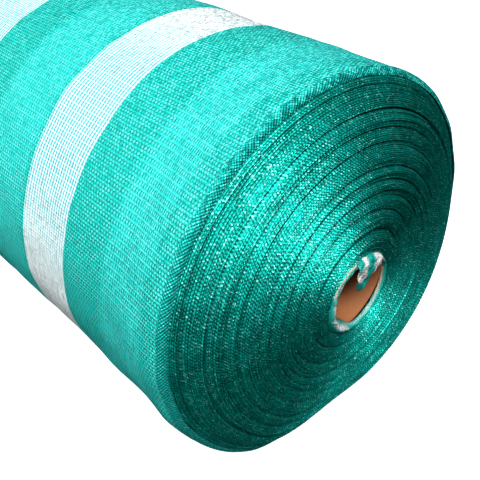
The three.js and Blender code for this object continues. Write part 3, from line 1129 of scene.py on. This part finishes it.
def flap_sheet():
    """The net's corner, which hangs from the top of the ring in front of the bore. Its root
    follows the ring, so it drops by as much as a circle does; its sides curl back."""
    share = np.linspace(0.0, 1.0, FLAP_GRID[0])[:, None]
    across = np.linspace(-1.0, 1.0, FLAP_GRID[1])[None, :]
    run = along_run(FLAP, share[:, 0])
    sideways = run[:, 2:3] + across * run[:, 3:]
    ring = FOLD[0][0]
    drop = ring - np.sqrt(np.maximum(ring**2 - sideways**2, 0.0))
    up = run[:, :1] - drop * (1 - share) ** DROP_FADES
    up = up + SIDES_UP[0] * across**2 * soft_step(share, *SIDES_UP[1:])
    crumple = ripple(FLAP_CRUMPLE, sideways, share * FLAP_DROP)
    curl = SIDES_CURL[0] * across**2 * soft_step(share, *SIDES_CURL[1:])
    degrees = np.degrees(np.arctan2(sideways, up))
    behind = run[:, 1:2] + crumple + curl
    return net_point(FACE_AT - behind, 1, np.hypot(sideways, up), degrees), share, across


fold_points, fold_share, fold_degrees = fold_sheet()
flap_points, flap_share, flap_across = flap_sheet()
print("Fold and flap:", fold_points.shape[:2], "and", flap_points.shape[:2], "points")

# %% [markdown]
# The colours of the tucked end change with the angle, because the fold cuts across the net's
# stripes. So each point of the two grids carries its own colour, mixed by formula: bands across
# the fold between certain angles, some of them speckled where single stitches show. Deeper in the
# bore the green is painted darker as shade, and the open netting's holes are speckled with painted
# shade.

# %% The tucked end's colours

TUCK_COLOURS = {"green": "#06a095", "painted shade green": "#035f57", "white": "#ded8d7", "kraft": "#d6b39c"}
PAINTED_SHADE_INTO_BORE = (0.75, 0.6, 0.95)  # painted shade into the bore: how dark the green gets, and where across the fold
BANDS = (  # colour, strength, angles, middle and half width across the fold, and speckle
    ("white", 0.9, (200, 288), (0.48, 0.16), 0.0),
    ("kraft", 0.9, (296, 352), (0.12, 0.06), 0.0),
    ("white", 0.85, (308, 364), (0.46, 0.08), 0.0),
    ("kraft", 0.9, (56, 125), (0.80, 0.12), 0.0),
    ("white", 0.6, (118, 205), (0.75, 0.12), 0.4),
    ("white", 0.6, (4, 60), (0.30, 0.30), 0.35),
)
NETTING = (0.6, (286, 322), (0.15, 0.3))  # strength, angles, and where it begins across the fold
NETTING_SPLIT = (0.6, 0.4)  # of its speckle: white above the first, and painted shade green below the other
SPECKLE_SEED = 5
FLAP_WHITE = 0.92
FLAP_GREEN_FROM = (0.66, 0.8)  # down the flap, where white ends
LEFT, RIGHT = (-0.35, -0.15), (0.25, 0.45)  # across it, where the white sides end
LEFT_AT_ROOT = ((0.25, 0.5), (-0.7, -0.5))  # to here down it, its left side is green as far as here


def blend(base, share, colour):
    """Mixes one of the tucked end's colours into an array of colours, by a share for each."""
    return base + (np.array(linear(TUCK_COLOURS[colour]))[:3] - base) * share[..., None]


def fold_colours(share, degrees):
    """Green, painted darker deeper in the bore as shade, with the bands one after the other, and
    the netting last, its holes painted shade.
    """
    speckle = np.random.default_rng(SPECKLE_SEED).random(np.broadcast(share, degrees).shape)
    colour = blend(np.zeros((*speckle.shape, 3)), np.ones(speckle.shape), "green")
    # painted shade: the green is painted darker deeper in the bore
    deep = PAINTED_SHADE_INTO_BORE[0] * soft_step(share, *PAINTED_SHADE_INTO_BORE[1:])
    colour = blend(colour, np.broadcast_to(deep, speckle.shape), "painted shade green")
    for name, strength, angles, (middle, half), least in BANDS:
        band = strength * sector(degrees, *angles) * bell(share - middle, half)
        colour = blend(colour, band * (speckle > least), name)
    strength, angles, begins = NETTING
    netting = strength * sector(degrees, *angles) * soft_step(share, *begins)
    colour = blend(colour, netting * (speckle > NETTING_SPLIT[0]), "white")
    return blend(colour, netting * (speckle < NETTING_SPLIT[1]), "painted shade green")


def flap_colours(share, across):
    """White along both sides, green between, and a green tip."""
    shape = np.broadcast(share, across).shape
    colour = blend(np.zeros((*shape, 3)), np.ones(shape), "green")
    upper = FLAP_WHITE * (1 - soft_step(share, *FLAP_GREEN_FROM))
    root, outermost = LEFT_AT_ROOT
    green = (1 - soft_step(share, *root)) * (1 - soft_step(across, *outermost))
    left = (1 - soft_step(across, *LEFT)) * (1 - green)
    colour = blend(colour, left * upper, "white")
    return blend(colour, soft_step(across, *RIGHT) * upper, "white")


def joined(first, second):
    """Two grids' values, one after the other, as one list of points."""
    return np.concatenate([a.reshape(-1, a.shape[-1]) for a in (first, second)])


paint = joined(fold_colours(fold_share, fold_degrees), flap_colours(flap_share, flap_across))
print("Colours on the tucked end:", len(paint))

# %% [markdown]
# Its finish shows those colours with the knit's lattice over them. Both sheets become one piece
# of loose net with a thickness, folded on the tube and the roll, which it rests on.

# %% The tucked end

LOOSE_KNIT = (3.2 * MM, 2.6 * MM)  # pushed together, the stitches show smaller
LOOSE_COVER = (-0.7, 0.2)
# painted shade: how dark the gaps are painted
GAP_PAINTED_SHADE = 0.62
LOOSE_RELIEF = 0.18 * MM
LOOSE_GLOSS = {"Roughness": 0.42, "IOR": PLASTIC_IOR}
TUCKED_THICKNESS = 0.7 * MM
FLAP_SIZE, FLAP_MAP_FROM = (0.012, 0.034), 0.3  # metres in its map, where it lies beside the fold
FOLD_SQUARE, FLAP_SQUARE = 0.45, 0.48  # heights in the map for baking, where the flap lies above


def tucked_tape(name):
    """The painted colour, with the knit's lattice over it: knots stand up, and gaps are painted
    darker as shade.
    """
    material, add = new_material(name)
    paint = add("Attribute", attribute_name="paint")
    parts = add("SeparateXYZ", add("UVMap", uv_map="knit"))
    lattice = [wave(add, parts.outputs[k], length) for k, length in enumerate(LOOSE_KNIT)]
    knots = add("Math MULTIPLY", *lattice)
    covered = add("MapRange SMOOTHSTEP", knots, *LOOSE_COVER, 0.0, 1.0)
    # painted shade in the gaps
    gap = add("HueSaturation", named={"Color": paint, "Value": GAP_PAINTED_SHADE})
    finished(add, add("Mix RGBA", covered, gap, paint), covered, LOOSE_RELIEF, **LOOSE_GLOSS)
    return material


fold_knit = pairs(np.radians(fold_degrees) * RING, fold_share * FOLD_WIDTH)
flap_knit = pairs(flap_across * FLAP_SIZE[0] + FLAP_MAP_FROM, flap_share * FLAP_SIZE[1])
fold_unit = pairs(fold_degrees / 360, fold_share * FOLD_SQUARE)
flap_unit = pairs((flap_across + 1) / 4, 0.5 + flap_share * FLAP_SQUARE)
faces = [grid_faces(*points.shape[:2])[:, ::-1] for points in (fold_points, flap_points)]
faces[1] += fold_points[..., 0].size
tucked = make_piece(
    "tucked_net",
    joined(fold_points, flap_points),
    np.concatenate(faces),
    tucked_tape("loose_knitted_tape"),
    {"knit": joined(fold_knit, flap_knit), "OFBake": joined(fold_unit, flap_unit)},
    node="tucked_end",
)
attribute = tucked.data.attributes.new("paint", "FLOAT_COLOR", "POINT")
attribute.data.foreach_set("color", np.insert(paint, 3, 1.0, axis=1).astype(np.float32).ravel())
weld(tucked)
thick = tucked.modifiers.new("thickness", "SOLIDIFY")
thick.thickness, thick.offset = TUCKED_THICKNESS, 0.0
count(tucked)

# %% [markdown]
# The stage is a pale floor under a large soft light that stands close to the camera, as a
# photographer's softbox would, with a weak fill from low in front and a dim surround that is
# brighter overhead. The floor doesn't light the roll from below, as black cards beside it would
# see to in a studio.

# %% Floor, light and camera

FLOOR_HALF = 6.0
UNDER_ROLL = -0.2 * MM
CAMERA_PLACE = Vector((0.6654, -0.2828, 0.46035))
CAMERA_AZIMUTH, CAMERA_ELEVATION = 44.428, 40.114
CAMERA_LENS, SENSOR, CLIP_START = 42.27, 36.0, 0.01
LIT_PLACE = Vector((0.3, 0.0, 0.15))  # the lights look here, at the roll's near end
LIGHT_AWAY, LIGHT_SIZE = 3.0, 1.5
LIGHTS = {"softbox": (48, 60, 165), "low_fill": (-5, 22, 45)}  # azimuth, elevation and watts
SURROUND = (0.35, 1.0, 0.015, 0.55)  # from and to these heights in the sky, from and to this glow
GAMMA = 0.85

scene = bpy.context.scene
scene.view_settings.view_transform = "Standard"
scene.view_settings.gamma = GAMMA

floor_mesh = bpy.data.meshes.new("floor")
corners = [(FLOOR_HALF * x, FLOOR_HALF * y, 0.0) for x, y in ((-1, -1), (1, -1), (1, 1), (-1, 1))]
floor_mesh.from_pydata(corners, [], [(0, 1, 2, 3)])
floor = bpy.data.objects.new("floor", floor_mesh)
scene.collection.objects.link(floor)
floor_paint, add = new_material("matt_white_floor")
glow = {"Emission Color": "#ffffff", "Emission Strength": 0.4}
finished(add, "#f2f3f4", Roughness=0.9, **glow)
floor_mesh.materials.append(floor_paint)
floor.location.z = UNDER_ROLL
floor.visible_diffuse = False
floor.visible_glossy = False

world = bpy.data.worlds.new("dim_studio")
world.use_nodes = True
world.node_tree.nodes.clear()
add = functools.partial(add_node, world.node_tree)
heading = add("SeparateXYZ", add("TexCoord").outputs["Generated"])
strength = add("MapRange", heading.outputs["Z"], *SURROUND)
add("OutputWorld", add("Background", "#eef6ff", strength))
scene.world = world


def towards(azimuth, elevation):
    """The direction from the object to a camera: azimuth 0 is at -Y, 90 at +X."""
    a, e = math.radians(azimuth), math.radians(elevation)
    return Vector((math.sin(a) * math.cos(e), -math.cos(a) * math.cos(e), math.sin(e)))


def look_from(name, data, place, azimuth, elevation):
    """Places a camera or a light, looking back against the direction it is seen in."""
    looker = bpy.data.objects.new(name, data)
    scene.collection.objects.link(looker)
    looker.location = place
    looker.rotation_euler = towards(azimuth, elevation).to_track_quat("Z", "Y").to_euler()
    return looker


lens = bpy.data.cameras.new("camera")
lens.sensor_width, lens.lens, lens.clip_start = SENSOR, CAMERA_LENS, CLIP_START
camera = look_from("camera", lens, CAMERA_PLACE, CAMERA_AZIMUTH, CAMERA_ELEVATION)
scene.camera = camera

for name, (azimuth, elevation, power) in LIGHTS.items():
    lamp = bpy.data.lights.new(name, "AREA")
    lamp.size, lamp.energy, lamp.color = LIGHT_SIZE, power, (1.0, 1.0, 1.0)
    place = LIT_PLACE + towards(azimuth, elevation) * LIGHT_AWAY
    look_from(name, lamp, place, azimuth, elevation)
print("Camera at", [round(v, 4) for v in camera.location])
